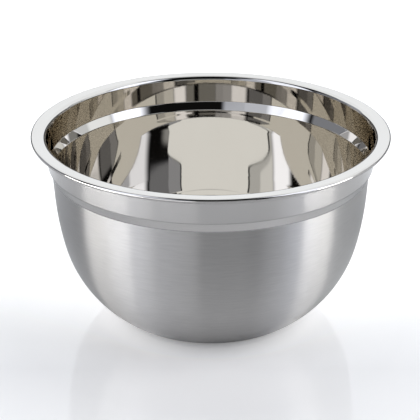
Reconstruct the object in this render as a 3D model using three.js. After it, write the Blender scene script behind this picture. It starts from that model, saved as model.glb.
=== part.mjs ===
// Stainless-steel mixing bowl, 24 cm across the rim.
// It is one deep-drawn pressing: a flat foot, a round body, a narrow shoulder, a collar that
// stands slightly outside the body, and a wide pouring flange whose edge is curled under.
// Units are millimetres, +Z is up, and the origin is the centre of the foot's underside.

import * as THREE from 'three';

// Overall size and sheet
const RIM_RADIUS = 120;
const HEIGHT = 133.7;
const SHEET = 0.6;

// Body, read upwards from the foot as three arcs that run into each other, then a straight
// taper. A heading is the wall's slope above the horizontal, in degrees.
const FOOT_RADIUS = 47.9;
const FOOT_ARC = { radius: 38.7, heading: 38.5, chords: 5 };
const BELLY_ARC = { radius: 84.1, heading: 77.6, chords: 6 };
const WALL_ARC = { radius: 211.7, heading: 87.3, chords: 2 };
const BODY_TOP = 106.7;

// Shoulder: a short cone with a soft bend at its foot and another at its top
const SHOULDER_BEND = 2.5;
const SHOULDER_HEADING = 66.3;
const SHOULDER_LENGTH = 5.7;
const SHOULDER_CHORDS = 2;

// Collar, the bend at its top, and the flange, which rises slightly towards its edge. The
// edge is curled down and under into an open bead; the radius is the bead's outer one.
const COLLAR_HEADING = 88;
const RIM_BEND = 2.5;
const RIM_BEND_CHORDS = 4;
const FLANGE_HEADING = 4;
const EDGE_CURL = { radius: 1.5, turn: 270, chords: 9 };

// Facets around the bowl
const SEGMENTS = 72;

const radians = THREE.MathUtils.degToRad;

const along = (heading) => new THREE.Vector2(Math.cos(heading), Math.sin(heading));
const leftOf = (heading) => new THREE.Vector2(-Math.sin(heading), Math.cos(heading));

/** Adds a straight run of the given length, in the direction that the path already has. */
function addStraight(path, length) {
  const { point, heading } = path.at(-1);
  path.push({ point: point.clone().addScaledVector(along(heading), length), heading });
}

/** Adds an arc, tangent to the path, that turns it to a new heading in equal chords. */
function addArc(path, radius, headingDegrees, chords) {
  const { point, heading } = path.at(-1);
  const turn = radians(headingDegrees) - heading;
  const signedRadius = Math.sign(turn) * radius;
  const centre = point.clone().addScaledVector(leftOf(heading), signedRadius);
  for (let chord = 1; chord <= chords; chord += 1) {
    const next = heading + (turn * chord) / chords;
    path.push({ point: centre.clone().addScaledVector(leftOf(next), -signedRadius), heading: next });
  }
}

/** Foot and body, from the centre of the underside to the foot of the shoulder. */
function addBody(path) {
  addStraight(path, FOOT_RADIUS);
  for (const { radius, heading, chords } of [FOOT_ARC, BELLY_ARC, WALL_ARC]) {
    addArc(path, radius, heading, chords);
  }
  const { point, heading } = path.at(-1);
  addStraight(path, (BODY_TOP - point.y) / Math.sin(heading));
}

/** Shoulder, the short cone that widens the body to the collar. */
function addShoulder(path) {
  addArc(path, SHOULDER_BEND, SHOULDER_HEADING, SHOULDER_CHORDS);
  addStraight(path, SHOULDER_LENGTH);
  addArc(path, SHOULDER_BEND, COLLAR_HEADING, SHOULDER_CHORDS);
}

/** Collar, its bend and the flange's underside, as far as the curled edge. */
function addCollarAndFlange(path) {
  const slope = radians(FLANGE_HEADING);
  const { point, heading } = path.at(-1);
  const collar = along(heading);
  const flange = along(slope);
  const curlCentre = new THREE.Vector2(RIM_RADIUS - EDGE_CURL.radius, HEIGHT - EDGE_CURL.radius);
  const curlStart = curlCentre.addScaledVector(leftOf(slope), EDGE_CURL.radius - SHEET);
  const gap = curlStart.sub(point);
  const collarToCorner = gap.cross(flange) / collar.cross(flange);
  const cornerToCurl = collar.cross(gap) / collar.cross(flange);
  const setback = RIM_BEND * Math.tan((heading - slope) / 2);
  addStraight(path, collarToCorner - setback);
  addArc(path, RIM_BEND, FLANGE_HEADING, RIM_BEND_CHORDS);
  addStraight(path, cornerToCurl - setback);
}

/** The curled edge; the path runs along the hollow side of the curl. */
function addEdgeCurl(path) {
  const { radius, turn, chords } = EDGE_CURL;
  addArc(path, radius - SHEET, FLANGE_HEADING - turn, chords);
}

/** Closed half-section of the pressing: outside face, then inside face, one sheet apart. */
function bowlSection() {
  const path = [{ point: new THREE.Vector2(0, 0), heading: 0 }];
  addBody(path);
  addShoulder(path);
  addCollarAndFlange(path);
  addEdgeCurl(path);
  const outside = path.map(({ point }) => point);
  const inside = path.map(({ point, heading }) =>
    point.clone().addScaledVector(leftOf(heading), SHEET));
  inside[0].x = 0;
  return [...outside, ...inside.reverse()];
}

/** The section turned about the bowl's axis; the lathe's own axis, Y, is laid onto +Z. */
function bowlShell() {
  const geometry = new THREE.LatheGeometry(bowlSection(), SEGMENTS);
  geometry.rotateX(Math.PI / 2);
  const steel = new THREE.MeshStandardMaterial({ color: 0xc6c4c0, roughness: 0.28, metalness: 1 });
  const shell = new THREE.Mesh(geometry, steel);
  shell.name = 'bowl_shell';
  return shell;
}

const group = new THREE.Group();
group.add(bowlShell());

export default group;
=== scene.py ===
import math
from collections import namedtuple

import bpy
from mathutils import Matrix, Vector


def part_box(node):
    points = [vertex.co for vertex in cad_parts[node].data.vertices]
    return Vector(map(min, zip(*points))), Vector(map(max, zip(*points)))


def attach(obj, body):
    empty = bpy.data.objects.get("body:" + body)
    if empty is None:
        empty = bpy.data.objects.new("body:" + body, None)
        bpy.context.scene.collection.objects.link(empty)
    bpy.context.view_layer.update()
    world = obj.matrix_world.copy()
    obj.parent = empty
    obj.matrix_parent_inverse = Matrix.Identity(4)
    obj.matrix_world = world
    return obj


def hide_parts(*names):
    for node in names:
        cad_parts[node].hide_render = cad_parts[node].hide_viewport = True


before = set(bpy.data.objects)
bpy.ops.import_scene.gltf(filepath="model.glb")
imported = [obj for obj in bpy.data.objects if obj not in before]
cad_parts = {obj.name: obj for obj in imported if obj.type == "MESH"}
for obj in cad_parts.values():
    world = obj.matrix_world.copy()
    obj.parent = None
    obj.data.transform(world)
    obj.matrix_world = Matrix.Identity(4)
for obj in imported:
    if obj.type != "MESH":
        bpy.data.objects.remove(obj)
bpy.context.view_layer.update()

# Stainless-steel mixing bowl, one pressing, on a glossy white studio table.
# Blender units are metres. The bowl's own sizes are written in millimetres and scaled by MM,
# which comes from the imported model's width.

shell_low, shell_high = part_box("bowl_shell")
RIM_HEIGHT = shell_high[2]
RIM_RADIUS_MM = 120
MM = (shell_high[0] - shell_low[0]) / (2 * RIM_RADIUS_MM)
HEIGHT_MM = RIM_HEIGHT / MM

# Section of the pressing, in millimetres and degrees. Headings are slopes above the
# horizontal. The arcs of the body run into each other: radius, final heading, chords.
SHEET = 0.6
FOOT_RADIUS = 47.9
BODY_ARCS = [(38.7, 38.5, 24), (84.1, 77.6, 32), (211.7, 87.3, 14)]
BODY_TOP = 106.7
SHOULDER_BEND = 2.5
SHOULDER_HEADING = 66.3
SHOULDER_LENGTH = 5.7
COLLAR_HEADING = 88
RIM_BEND = 2.5
FLANGE_HEADING = 4
CURL_RADIUS = 1.5
CURL_TURN = 270

# Fineness of the mesh, and the radius below which a point counts as on the axis
BEND_CHORDS = 10
CURL_CHORDS = 30
SEGMENTS = 256
ON_AXIS = 1e-6

# Noise patterns on the steel: frequency along X, Y and Z per metre, and detail
HAZE = ((30, 30, 30), 3)
WAVES = ((60, 60, 60), 2)
SATIN_STREAKS = ((90, 90, 1100), 5)
COLLAR_LINES = ((40, 40, 1200), 3)
FINE_SCRATCHES = ((150, 150, 5000), 3)

# A quarter turn from the tangent lays the stretch of a highlight across the grain
ACROSS_GRAIN = 0.25

# Camera, in metres and degrees, aimed at a point on the bowl's axis
CAMERA_DISTANCE = 0.768
CAMERA_PITCH = 24.86
CAMERA_LENS = 94.6
CAMERA_SHIFT = -0.0017
TARGET_HEIGHT = 0.5375 * RIM_HEIGHT

# Light runs round the polished inside many times before it leaves
MIRROR_BOUNCES = 14

# Studio panels. A side edge that slants does so between the two elevations of EDGE_BEND,
# in degrees.
WHITE = (1, 1, 1)
DAYLIGHT = (1, 1.045, 1.1)
COOL = (1, 1.06, 1.22)
AMBIENT = 0.006
EDGE_BEND = (22.7, 28)

# Strip lights, no higher than the rim
STRIP_DISTANCE = 0.55
STRIP_LENGTH = 0.9 * RIM_HEIGHT
STRIP_CENTRE = 0.55 * RIM_HEIGHT

# Table, and the lights that shine on it. Rings of painted shade and light, and of painted glow:
# radius in metres, level.
TABLE_RADIUS = 6
TABLE_CORNERS = 96
TABLE_COLOUR = (0.87, 0.855, 0.835)
TABLE_ROUGHNESS = 0.06
TABLE_IOR = 1.5
# Painted shade and light on the table as the steel sees it: dark under and round the bowl where
# its shade falls, then lighter and darker rings further out
PAINTED_TABLE_LIGHT_AND_SHADE = [(0.04, 0.15), (0.08, 0.42), (0.115, 0.88), (0.16, 0.9), (0.2, 0.45),
               (0.27, 0.3), (0.30, 0.95), (0.33, 0.95), (0.34, 0.68)]
# Painted glow on the table, seen by the camera only: painted light in a ring round the bowl's
# foot, and painted light that fades the far table to white
PAINTED_TABLE_GLOW = [(0.055, 0), (0.066, 0.22), (0.075, 0.2), (0.085, 0.12), (0.1, 0.07), (0.14, 0),
              (0.4, 0), (0.9, 1)]
# Painted light that brightens the table behind the bowl: its level, and the span of Y in metres
# over which it rises
PAINTED_BACK_GLOW = 0.35
PAINTED_BACK_GLOW_SPAN = (-0.09, 0.03)
TABLE_LIGHT_SIZE = 0.9
TABLE_LIGHT_DISTANCE = 1.6
TABLE_LIGHT_RISE = math.radians(42)

# Sockets of a colour Mix node, by number because several have the same name
MIX_FIRST = 6
MIX_SECOND = 7
MIX_RESULT = 2

Span = namedtuple("Span", "start start_normal end end_normal finish")


# ---------------------------------------------------------------- section of the bowl

def along(heading):
    return Vector((math.cos(heading), math.sin(heading)))


def left_of(heading):
    return Vector((-math.sin(heading), math.cos(heading)))


def cross(a, b):
    return a.x * b.y - a.y * b.x


def add_straight(path, length, steps=1):
    """Adds a straight run in the direction that the path already has."""
    point, heading = path[-1]
    for step in range(1, steps + 1):
        path.append((point + along(heading) * length * step / steps, heading))


def add_arc(path, radius, heading_degrees, chords=BEND_CHORDS):
    """Adds a tangent arc that turns the path to a new heading."""
    point, heading = path[-1]
    turn = math.radians(heading_degrees) - heading
    signed_radius = math.copysign(radius, turn)
    centre = point + left_of(heading) * signed_radius
    for chord in range(1, chords + 1):
        now = heading + turn * chord / chords
        path.append((centre - left_of(now) * signed_radius, now))


def add_body(path):
    """Foot and body, from the centre of the underside to the foot of the shoulder."""
    add_straight(path, FOOT_RADIUS, steps=6)
    for radius, heading, chords in BODY_ARCS:
        add_arc(path, radius, heading, chords)
    point, heading = path[-1]
    add_straight(path, (BODY_TOP - point.y) / math.sin(heading), steps=4)


def add_shoulder(path):
    """The short cone between body and collar, and a bend at each end of it."""
    add_arc(path, SHOULDER_BEND, SHOULDER_HEADING)
    add_straight(path, SHOULDER_LENGTH, steps=2)
    add_arc(path, SHOULDER_BEND, COLLAR_HEADING)


def add_collar_and_flange(path):
    """Collar, its bend and the flange's underside, as far as the curled edge."""
    point, heading = path[-1]
    slope = math.radians(FLANGE_HEADING)
    curl_centre = Vector((RIM_RADIUS_MM - CURL_RADIUS, HEIGHT_MM - CURL_RADIUS))
    curl_start = curl_centre + left_of(slope) * (CURL_RADIUS - SHEET)
    gap = curl_start - point
    to_corner = cross(gap, along(slope)) / cross(along(heading), along(slope))
    to_curl = cross(along(heading), gap) / cross(along(heading), along(slope))
    setback = RIM_BEND * math.tan((heading - slope) / 2)
    add_straight(path, to_corner - setback, steps=6)
    add_arc(path, RIM_BEND, FLANGE_HEADING)
    add_straight(path, to_curl - setback, steps=3)


def inner_finish(start, end):
    """Mirror inside; the flange is a little duller, and the curl is like the collar's outside."""
    middle = (start + end) / 2
    if middle.y < HEIGHT_MM - CURL_RADIUS and middle.x > RIM_RADIUS_MM - 2 * CURL_RADIUS:
        return "collar"
    return "flange" if middle.y > HEIGHT_MM - 2 * CURL_RADIUS else "mirror"


def bowl_spans():
    """Closed half-section as spans: outer face, the cut at the curl's end, inner face."""
    path = [(Vector((0, 0)), 0.0)]
    add_body(path)
    body_end = len(path) - 1
    add_shoulder(path)
    add_collar_and_flange(path)
    add_arc(path, CURL_RADIUS - SHEET, FLANGE_HEADING - CURL_TURN, CURL_CHORDS)

    spans = []
    for index, ((start, leaving), (end, arriving)) in enumerate(zip(path, path[1:])):
        finish = "satin" if index < body_end else "collar"
        spans.append(Span(start, -left_of(leaving), end, -left_of(arriving), finish))
    tip, heading = path[-1]
    cut = along(heading)
    spans.append(Span(tip, cut, tip + left_of(heading) * SHEET, cut, "mirror"))
    for (outer_start, leaving), (outer_end, arriving) in zip(path[::-1], path[-2::-1]):
        start = outer_start + left_of(leaving) * SHEET
        end = outer_end + left_of(arriving) * SHEET
        finish = inner_finish(start, end)
        spans.append(Span(start, left_of(leaving), end, left_of(arriving), finish))
    return spans


def turned(radius, height, turn):
    """A point or direction of the half-section, turned about the Z axis."""
    return (radius * math.cos(turn), radius * math.sin(turn), height)


def lathe(name, spans, materials):
    """Turns the spans about the Z axis into one mesh with exact normals."""
    turns = [2 * math.pi * step / SEGMENTS for step in range(SEGMENTS)]
    vertices = []
    rings = []
    for point in [spans[0].start] + [span.end for span in spans]:
        first = len(vertices)
        if point.x < ON_AXIS:
            vertices.append((0, 0, point.y * MM))
            rings.append([first] * SEGMENTS)
        else:
            vertices.extend(turned(point.x * MM, point.y * MM, turn) for turn in turns)
            rings.append(range(first, first + SEGMENTS))

    finishes = list(materials)
    faces = []
    normals = []
    slots = []
    for span, lower, upper in zip(spans, rings, rings[1:]):
        for step in range(SEGMENTS):
            after = (step + 1) % SEGMENTS
            corners = {}
            for ring, place, normal in ((lower, step, span.start_normal),
                                        (lower, after, span.start_normal),
                                        (upper, after, span.end_normal),
                                        (upper, step, span.end_normal)):
                corners.setdefault(ring[place], turned(normal.x, normal.y, turns[place]))
            faces.append(list(corners))
            normals.extend(corners.values())
            slots.append(finishes.index(span.finish))

    mesh = bpy.data.meshes.new(name)
    mesh.from_pydata(vertices, [], faces)
    for finish in finishes:
        mesh.materials.append(materials[finish])
    mesh.polygons.foreach_set("material_index", slots)
    mesh.polygons.foreach_set("use_smooth", [True] * len(faces))
    mesh.normals_split_custom_set(normals)
    mesh.update()
    piece = bpy.data.objects.new(name, mesh)
    bpy.context.scene.collection.objects.link(piece)
    return piece


# ---------------------------------------------------------------- nodes

class Nodes:
    """Adds nodes to one material or world and wires them up."""

    def __init__(self, tree):
        self.tree = tree

    def add(self, kind, **settings):
        node = self.tree.nodes.new(kind)
        for name, value in settings.items():
            setattr(node, name, value)
        return node

    def feed(self, socket, value):
        """Links an output to the socket, or sets the socket to a number, vector or colour."""
        if isinstance(value, bpy.types.NodeSocket):
            self.tree.links.new(value, socket)
        elif socket.type == "RGBA":
            socket.default_value = (*value, 1)
        else:
            socket.default_value = value

    def math(self, operation, *values):
        node = self.add("ShaderNodeMath", operation=operation)
        for socket, value in zip(node.inputs, values):
            self.feed(socket, value)
        return node.outputs["Value"]

    def ranged(self, value, from_range=(0, 1), to_range=(0, 1), shape="LINEAR"):
        """Maps one range of the value onto another and stays within it."""
        node = self.add("ShaderNodeMapRange", interpolation_type=shape)
        ends = zip(("From Min", "From Max", "To Min", "To Max"), (*from_range, *to_range))
        for name, end in ends:
            self.feed(node.inputs[name], end)
        self.feed(node.inputs["Value"], value)
        return node.outputs["Result"]

    def mix(self, factor, first, second):
        """Colour that runs from the first to the second as the factor goes from 0 to 1."""
        node = self.add("ShaderNodeMix", data_type="RGBA")
        self.feed(node.inputs["Factor"], factor)
        self.feed(node.inputs[MIX_FIRST], first)
        self.feed(node.inputs[MIX_SECOND], second)
        return node.outputs[MIX_RESULT]

    def graded(self, value, stops):
        """Grey level that follows the value through the given stops."""
        node = self.add("ShaderNodeValToRGB")
        elements = node.color_ramp.elements
        while len(elements) < len(stops):
            elements.new(0.5)
        for element, (position, tone) in zip(elements, stops):
            element.position = position
            element.color = (tone, tone, tone, 1)
        self.feed(node.inputs["Fac"], value)
        return node.outputs["Color"]

    def place(self):
        """Where a point lies in its object's own coordinates."""
        return self.add("ShaderNodeTexCoord").outputs["Object"]

    def noise(self, frequency, detail):
        mapping = self.add("ShaderNodeMapping")
        self.feed(mapping.inputs["Vector"], self.place())
        self.feed(mapping.inputs["Scale"], frequency)
        noise = self.add("ShaderNodeTexNoise")
        self.feed(noise.inputs["Vector"], mapping.outputs["Vector"])
        self.feed(noise.inputs["Scale"], 1)
        self.feed(noise.inputs["Detail"], detail)
        return noise.outputs["Fac"]

    def split(self, vector):
        node = self.add("ShaderNodeSeparateXYZ")
        self.feed(node.inputs["Vector"], vector)
        return node.outputs

    def seen_by_camera(self):
        """1 for what the camera sees directly, 0 for reflections and light."""
        return self.add("ShaderNodeLightPath").outputs["Is Camera Ray"]


# ---------------------------------------------------------------- materials

def new_material(name):
    material = bpy.data.materials.new(name)
    material.use_nodes = True
    return material, Nodes(material.node_tree), material.node_tree.nodes["Principled BSDF"]


def steel(name, tones, roughness, pattern, relief, relief_depth, grain=0):
    """Steel whose tone and roughness follow one noise pattern, and its bump another.

    The bump's depth is in metres. A grain above 0 is brushed round the bowl's axis, and
    highlights then stretch across it."""
    material, nodes, shader = new_material(name)
    shader.inputs["Metallic"].default_value = 1
    shade = nodes.noise(*pattern)
    nodes.feed(shader.inputs["Base Color"], nodes.mix(shade, *tones))
    nodes.feed(shader.inputs["Roughness"], nodes.ranged(shade, to_range=roughness))
    bump = nodes.add("ShaderNodeBump")
    nodes.feed(bump.inputs["Distance"], relief_depth)
    nodes.feed(bump.inputs["Height"], nodes.noise(*relief))
    nodes.feed(shader.inputs["Normal"], bump.outputs["Normal"])
    if grain > 0:
        shader.inputs["Anisotropic"].default_value = grain
        shader.inputs["Anisotropic Rotation"].default_value = ACROSS_GRAIN
        tangent = nodes.add("ShaderNodeTangent", direction_type="RADIAL", axis="Z")
        nodes.feed(shader.inputs["Tangent"], tangent.outputs["Tangent"])
    return material


def steel_finishes():
    """The bowl's four finishes, by name."""
    return {
        "satin": steel("satin_brushed_steel",
                       tones=((0.44, 0.427, 0.412), (0.57, 0.555, 0.535)),
                       roughness=(0.30, 0.42), pattern=SATIN_STREAKS,
                       relief=FINE_SCRATCHES, relief_depth=0.00001, grain=1),
        "collar": steel("polished_collar_steel",
                        tones=((0.455, 0.44, 0.425), (0.515, 0.50, 0.48)),
                        roughness=(0.17, 0.22), pattern=COLLAR_LINES,
                        relief=FINE_SCRATCHES, relief_depth=0.000003, grain=0.85),
        "mirror": steel("mirror_polished_steel",
                        tones=((0.70, 0.67, 0.62), (0.72, 0.69, 0.64)),
                        roughness=(0.015, 0.04), pattern=HAZE,
                        relief=WAVES, relief_depth=0.000004),
        "flange": steel("polished_flange_steel",
                        tones=((0.60, 0.575, 0.54), (0.65, 0.625, 0.59)),
                        roughness=(0.05, 0.09), pattern=HAZE,
                        relief=WAVES, relief_depth=0.000004),
    }


def table_white():
    """Glossy white table, as the camera sees it and as the steel sees it.

    To the camera it has a painted glow round the bowl, and painted light fades it to white behind
    it and far away.
    To the steel it has painted rings of light and shade, dark under the bowl, where its shade
    falls."""
    material, nodes, shader = new_material("glossy_white_table_painted_light")
    place = nodes.place()
    length = nodes.add("ShaderNodeVectorMath", operation="LENGTH")
    nodes.feed(length.inputs[0], place)
    radius = length.outputs["Value"]
    seen = nodes.seen_by_camera()
    # The steel sees the rings of painted shade and light; the camera sees the table's own colour
    colour = nodes.mix(seen, nodes.graded(radius, PAINTED_TABLE_LIGHT_AND_SHADE), TABLE_COLOUR)
    nodes.feed(shader.inputs["Base Color"], colour)
    shader.inputs["Roughness"].default_value = TABLE_ROUGHNESS
    shader.inputs["IOR"].default_value = TABLE_IOR

    # Painted light, brighter towards the back of the table
    towards_back = nodes.split(place)["Y"]
    painted_light_behind = nodes.ranged(towards_back, PAINTED_BACK_GLOW_SPAN, (0, PAINTED_BACK_GLOW))
    # Painted light: the glow behind the bowl, round its foot and far away, shown to the camera
    # only
    glow = nodes.math("ADD", painted_light_behind, nodes.graded(radius, PAINTED_TABLE_GLOW))
    nodes.feed(shader.inputs["Emission Color"], WHITE)
    nodes.feed(shader.inputs["Emission Strength"], nodes.math("MULTIPLY", glow, seen))
    return material


# ---------------------------------------------------------------- studio

class WorldPanels:
    """Soft panels of light far away, each a patch of azimuth and elevation in degrees.

    Azimuth 0 is towards the camera and grows to its right, so 180 is behind the bowl. Where
    panels overlap, the brighter one shows."""

    def __init__(self):
        self.world = bpy.data.worlds.new("studio")
        self.world.use_nodes = True
        self.world.node_tree.nodes.clear()
        self.nodes = Nodes(self.world.node_tree)
        calculate = self.nodes.math
        direction = self.nodes.add("ShaderNodeTexCoord").outputs["Generated"]
        x, y, z = self.nodes.split(direction)
        from_back = calculate("ARCTAN2", calculate("MULTIPLY", x, -1), y)
        self.azimuth = calculate("ADD", calculate("DEGREES", from_back), 180)
        self.elevation = calculate("DEGREES", calculate("ARCSINE", z))
        self.rise = self.soft_step(self.elevation, *EDGE_BEND)
        self.channels = [calculate("ADD", 0, AMBIENT)] * 3

    def soft_step(self, value, low, high):
        """Rises from 0 to 1 as the value goes from low to high."""
        return self.nodes.ranged(value, (low, high), shape="SMOOTHSTEP")

    def past(self, value, edge, soft):
        """0 on one side of an edge and 1 on the other, softly between."""
        return self.soft_step(value, edge - soft / 2, edge + soft / 2)

    def past_side(self, edge, upper_edge, soft):
        """1 where the azimuth is past a side edge, which may slant to an upper azimuth."""
        azimuth = self.azimuth
        if upper_edge is not None:
            slant = self.nodes.math("MULTIPLY", self.rise, upper_edge - edge)
            azimuth = self.nodes.math("SUBTRACT", azimuth, slant)
        return self.past(azimuth, edge, soft)

    def add(self, start, end, low, high, strength, side_soft=5, end_soft=4, tint=DAYLIGHT,
            start_up=None, end_up=None):
        """Adds a panel between two azimuths and two elevations."""
        calculate = self.nodes.math
        across = calculate("SUBTRACT", self.past_side(start, start_up, side_soft),
                           self.past_side(end, end_up, side_soft))
        upright = calculate("SUBTRACT", self.past(self.elevation, low, end_soft),
                            self.past(self.elevation, high, end_soft))
        mask = calculate("MULTIPLY", across, upright)
        for index, share in enumerate(tint):
            shine = calculate("MULTIPLY", mask, strength * share)
            self.channels[index] = calculate("MAXIMUM", self.channels[index], shine)

    def finish(self):
        """White to the camera itself, the panels to everything else."""
        colour = self.nodes.add("ShaderNodeCombineColor")
        for channel, level in zip(colour.inputs, self.channels):
            self.nodes.feed(channel, level)
        shown = self.nodes.mix(self.nodes.seen_by_camera(), colour.outputs["Color"], WHITE)
        background = self.nodes.add("ShaderNodeBackground")
        self.nodes.feed(background.inputs["Color"], shown)
        output = self.nodes.add("ShaderNodeOutputWorld")
        self.nodes.feed(output.inputs["Surface"], background.outputs["Background"])
        bpy.context.scene.world = self.world


def make_panels():
    """What the steel reflects from afar. Azimuths 0 and 360 meet in front."""
    panels = WorldPanels()
    # Backdrop
    panels.add(122, 225, 11, 66, 1.22, side_soft=1.5, start_up=87, end_up=248)
    # Reflector, wall and softbox on the right, and the softbox's side
    panels.add(79, 105, 2, 60, 1.05, side_soft=10, end_up=82)
    panels.add(78, 119.5, 2, 60, 0.72, side_soft=1.5, end_up=84.5)
    panels.add(54, 80, 3, 66, 1.75, side_soft=10, tint=COOL, start_up=48)
    panels.add(36, 54, 2, 22.5, 0.36)
    # Softbox on the left and its dimmer upper part, and two cards
    panels.add(283, 316, 3, 24, 1.6, side_soft=10, tint=COOL)
    panels.add(283, 316, 22, 66, 1.35, side_soft=12, tint=COOL)
    panels.add(312, 336, 2, 52, 0.64, side_soft=8, tint=COOL)
    panels.add(330, 350, 2, 29, 0.56, tint=COOL)
    # Below the camera, in two halves that meet in front
    panels.add(-5, 26, 2, 23, 0.33)
    panels.add(345, 365, 2, 23, 0.33)
    # Wall on the left, its dimmer end, and the wall above it
    panels.add(227, 246, 2, 27.3, 0.42, side_soft=1.5, end_soft=2, tint=COOL, start_up=250)
    panels.add(227, 277, 2, 25, 0.25, side_soft=4, end_soft=2, tint=COOL, start_up=250)
    panels.add(242, 258, 30, 60, 0.4, side_soft=12, end_soft=3)
    # Ceiling
    panels.add(100, 260, 66, 95, 0.7)
    panels.finish()


def area_light(name, azimuth, away, up, tilt, size, watts):
    """A rectangular light that the camera itself never sees.

    It stands away from the bowl's axis and up from the table, and faces the axis, tilted
    down by the given angle."""
    data = bpy.data.lights.new(name, "AREA")
    data.shape = "RECTANGLE"
    data.size, data.size_y = size
    data.energy = watts
    light = bpy.data.objects.new(name, data)
    light.visible_camera = False
    turn = math.radians(azimuth)
    light.location = (away * math.sin(turn), -away * math.cos(turn), up)
    light.rotation_euler = (math.pi / 2 - tilt, 0, turn)
    bpy.context.scene.collection.objects.link(light)
    return light


def strip_light(name, azimuth, width, radiance):
    """An upright strip beside the bowl that shows only in reflections.

    It reaches no higher than the rim, so the inside of the bowl misses it."""
    watts = radiance * math.pi * width * STRIP_LENGTH
    light = area_light(name, azimuth, STRIP_DISTANCE, STRIP_CENTRE, 0,
                       (width, STRIP_LENGTH), watts)
    light.visible_diffuse = False


def table_light(name, azimuth, watts):
    """A large soft light that shines on the table and never shows in the steel."""
    away = TABLE_LIGHT_DISTANCE * math.cos(TABLE_LIGHT_RISE)
    up = TABLE_LIGHT_DISTANCE * math.sin(TABLE_LIGHT_RISE)
    light = area_light(name, azimuth, away, up, TABLE_LIGHT_RISE,
                       (TABLE_LIGHT_SIZE, TABLE_LIGHT_SIZE), watts)
    light.visible_glossy = False


def make_lights():
    strip_light("strip_light_left", -70, 0.36, 6)
    strip_light("strip_light_left_side", -44, 0.16, 2.2)
    strip_light("strip_light_front", -22, 0.28, 1.0)
    strip_light("strip_light_right", 72, 0.24, 5.6)
    table_light("table_light_left", -75, 7)
    table_light("table_light_right", 75, 8.3)


def make_table():
    bpy.ops.mesh.primitive_circle_add(vertices=TABLE_CORNERS, radius=TABLE_RADIUS,
                                      fill_type="NGON")
    table = bpy.context.object
    table.name = "studio_table"
    table.data.materials.append(table_white())


def make_camera():
    data = bpy.data.cameras.new("camera")
    data.lens = CAMERA_LENS
    data.shift_x = CAMERA_SHIFT
    camera = bpy.data.objects.new("camera", data)
    pitch = math.radians(CAMERA_PITCH)
    camera.location = (0, -CAMERA_DISTANCE * math.cos(pitch),
                       TARGET_HEIGHT + CAMERA_DISTANCE * math.sin(pitch))
    camera.rotation_euler = (math.pi / 2 - pitch, 0, 0)
    bpy.context.scene.collection.objects.link(camera)
    bpy.context.scene.camera = camera


# ---------------------------------------------------------------- scene

bpy.context.scene.view_settings.view_transform = "Standard"
bpy.context.scene.cycles.max_bounces = MIRROR_BOUNCES
bpy.context.scene.cycles.glossy_bounces = MIRROR_BOUNCES
make_camera()
make_table()
make_panels()
make_lights()

bowl = lathe("bowl", bowl_spans(), steel_finishes())
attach(bowl, "root")
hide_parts("bowl_shell")
